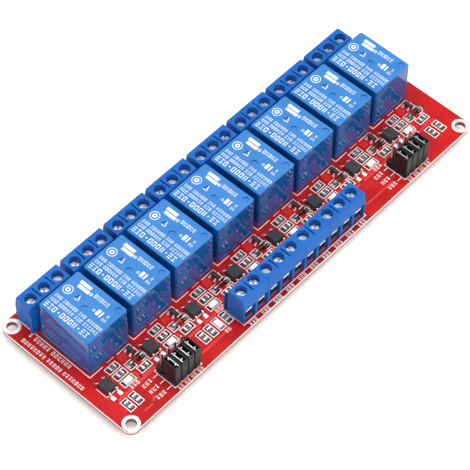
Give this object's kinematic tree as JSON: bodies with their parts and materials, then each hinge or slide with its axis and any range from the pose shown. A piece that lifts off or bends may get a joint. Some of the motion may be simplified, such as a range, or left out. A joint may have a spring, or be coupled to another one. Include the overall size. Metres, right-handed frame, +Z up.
{
  "type": "relay module board",
  "caption": "Circuit board that switches mains or low-voltage loads with a row of sealed relays, each with its own screw terminal, driven through one signal terminal and set by jumpers.",
  "frame": {"origin": "centre of the four mounting holes on the board's underside", "axes": "+X along the board, +Y towards the output terminals, +Z up through the board"},
  "size_m": [0.144, 0.05, 0.0185],
  "materials": {
    "solder_mask": "satin red solder mask on glass-fibre board",
    "relay_cover": "see-through blue moulded plastic, fine matt grain",
    "relay_base": "dark blue moulded plastic",
    "armature": "plated steel with a copper-alloy spring",
    "yoke_steel": "plated steel",
    "bobbin": "pale moulded plastic",
    "copper_wire": "enamelled copper wire",
    "contact_metal": "tinned copper alloy",
    "terminal_block": "blue moulded plastic, satin",
    "screw_steel": "bright zinc plating",
    "clamp_metal": "plated steel",
    "tinned_metal": "bright tin plating",
    "jumper_plastic": "black moulded plastic",
    "gilt_pins": "thin gilt plating",
    "chip_plastic": "black moulding compound with tinned leads",
    "resistor": "black glaze with tinned ends",
    "indicator": "clear moulded block",
    "diode_glass": "glass tube with tinned end caps",
    "solder": "smooth solder"
  },
  "bodies": {
    "board": {"circuit_board": "solder_mask", "relay_cover_1": "relay_cover", "relay_cover_2": "relay_cover", "relay_cover_3": "relay_cover", "relay_cover_4": "relay_cover", "relay_cover_5": "relay_cover", "relay_cover_6": "relay_cover", "relay_cover_7": "relay_cover", "relay_cover_8": "relay_cover", "relay_base_1": "relay_base", "relay_base_2": "relay_base", "relay_base_3": "relay_base", "relay_base_4": "relay_base", "relay_base_5": "relay_base", "relay_base_6": "relay_base", "relay_base_7": "relay_base", "relay_base_8": "relay_base", "relay_yokes": "yoke_steel", "relay_bobbins": "bobbin", "relay_windings": "copper_wire", "relay_contacts": "contact_metal", "output_terminal_1": "terminal_block", "output_terminal_2": "terminal_block", "output_terminal_3": "terminal_block", "output_terminal_4": "terminal_block", "output_terminal_5": "terminal_block", "output_terminal_6": "terminal_block", "output_terminal_7": "terminal_block", "output_terminal_8": "terminal_block", "input_terminal_1": "terminal_block", "input_terminal_2": "terminal_block", "input_terminal_3": "terminal_block", "input_terminal_4": "terminal_block", "terminal_screws": "screw_steel", "terminal_clamps": "clamp_metal", "terminal_pins": "tinned_metal", "jumper_headers": "jumper_plastic", "header_pins": "gilt_pins", "optocouplers": "chip_plastic", "chip_resistors": "resistor", "indicator_leds": "indicator", "diodes": "diode_glass", "transistors": "chip_plastic", "solder_joints": "solder"},
    "armature_1": {"relay_armature_1": "armature"},
    "armature_2": {"relay_armature_2": "armature"},
    "armature_3": {"relay_armature_3": "armature"},
    "armature_4": {"relay_armature_4": "armature"},
    "armature_5": {"relay_armature_5": "armature"},
    "armature_6": {"relay_armature_6": "armature"},
    "armature_7": {"relay_armature_7": "armature"},
    "armature_8": {"relay_armature_8": "armature"},
    "jumper_1": {"jumper_cap_1": "jumper_plastic"},
    "jumper_2": {"jumper_cap_2": "jumper_plastic"},
    "jumper_3": {"jumper_cap_3": "jumper_plastic"},
    "jumper_4": {"jumper_cap_4": "jumper_plastic"},
    "jumper_5": {"jumper_cap_5": "jumper_plastic"},
    "jumper_6": {"jumper_cap_6": "jumper_plastic"},
    "jumper_7": {"jumper_cap_7": "jumper_plastic"},
    "jumper_8": {"jumper_cap_8": "jumper_plastic"}
  },
  "joints": [
    {"name": "armature_hinge_1", "type": "hinge", "parent": "board", "child": "armature_1", "pos_m": [-0.05835, -0.0021, 0.01216], "axis": [1, 0, 0], "range_deg": [-3, 0], "stiffness_Nm_per_rad": 0.02, "springref_deg": 5.73},
    {"name": "armature_hinge_2", "type": "hinge", "parent": "board", "child": "armature_2", "pos_m": [-0.04155, -0.0021, 0.01216], "axis": [1, 0, 0], "range_deg": [-3, 0], "stiffness_Nm_per_rad": 0.02, "springref_deg": 5.73},
    {"name": "armature_hinge_3", "type": "hinge", "parent": "board", "child": "armature_3", "pos_m": [-0.02475, -0.0021, 0.01216], "axis": [1, 0, 0], "range_deg": [-3, 0], "stiffness_Nm_per_rad": 0.02, "springref_deg": 5.73},
    {"name": "armature_hinge_4", "type": "hinge", "parent": "board", "child": "armature_4", "pos_m": [-0.00795, -0.0021, 0.01216], "axis": [1, 0, 0], "range_deg": [-3, 0], "stiffness_Nm_per_rad": 0.02, "springref_deg": 5.73},
    {"name": "armature_hinge_5", "type": "hinge", "parent": "board", "child": "armature_5", "pos_m": [0.00885, -0.0021, 0.01216], "axis": [1, 0, 0], "range_deg": [-3, 0], "stiffness_Nm_per_rad": 0.02, "springref_deg": 5.73},
    {"name": "armature_hinge_6", "type": "hinge", "parent": "board", "child": "armature_6", "pos_m": [0.02565, -0.0021, 0.01216], "axis": [1, 0, 0], "range_deg": [-3, 0], "stiffness_Nm_per_rad": 0.02, "springref_deg": 5.73},
    {"name": "armature_hinge_7", "type": "hinge", "parent": "board", "child": "armature_7", "pos_m": [0.04245, -0.0021, 0.01216], "axis": [1, 0, 0], "range_deg": [-3, 0], "stiffness_Nm_per_rad": 0.02, "springref_deg": 5.73},
    {"name": "armature_hinge_8", "type": "hinge", "parent": "board", "child": "armature_8", "pos_m": [0.05925, -0.0021, 0.01216], "axis": [1, 0, 0], "range_deg": [-3, 0], "stiffness_Nm_per_rad": 0.02, "springref_deg": 5.73},
    {"name": "jumper_pull_1", "type": "slide", "parent": "board", "child": "jumper_1", "axis": [0, 0, 1], "range_m": [0, 0.006]},
    {"name": "jumper_pull_2", "type": "slide", "parent": "board", "child": "jumper_2", "axis": [0, 0, 1], "range_m": [0, 0.006]},
    {"name": "jumper_pull_3", "type": "slide", "parent": "board", "child": "jumper_3", "axis": [0, 0, 1], "range_m": [0, 0.006]},
    {"name": "jumper_pull_4", "type": "slide", "parent": "board", "child": "jumper_4", "axis": [0, 0, 1], "range_m": [0, 0.006]},
    {"name": "jumper_pull_5", "type": "slide", "parent": "board", "child": "jumper_5", "axis": [0, 0, 1], "range_m": [0, 0.006]},
    {"name": "jumper_pull_6", "type": "slide", "parent": "board", "child": "jumper_6", "axis": [0, 0, 1], "range_m": [0, 0.006]},
    {"name": "jumper_pull_7", "type": "slide", "parent": "board", "child": "jumper_7", "axis": [0, 0, 1], "range_m": [0, 0.006]},
    {"name": "jumper_pull_8", "type": "slide", "parent": "board", "child": "jumper_8", "axis": [0, 0, 1], "range_m": [0, 0.006]}
  ]
}
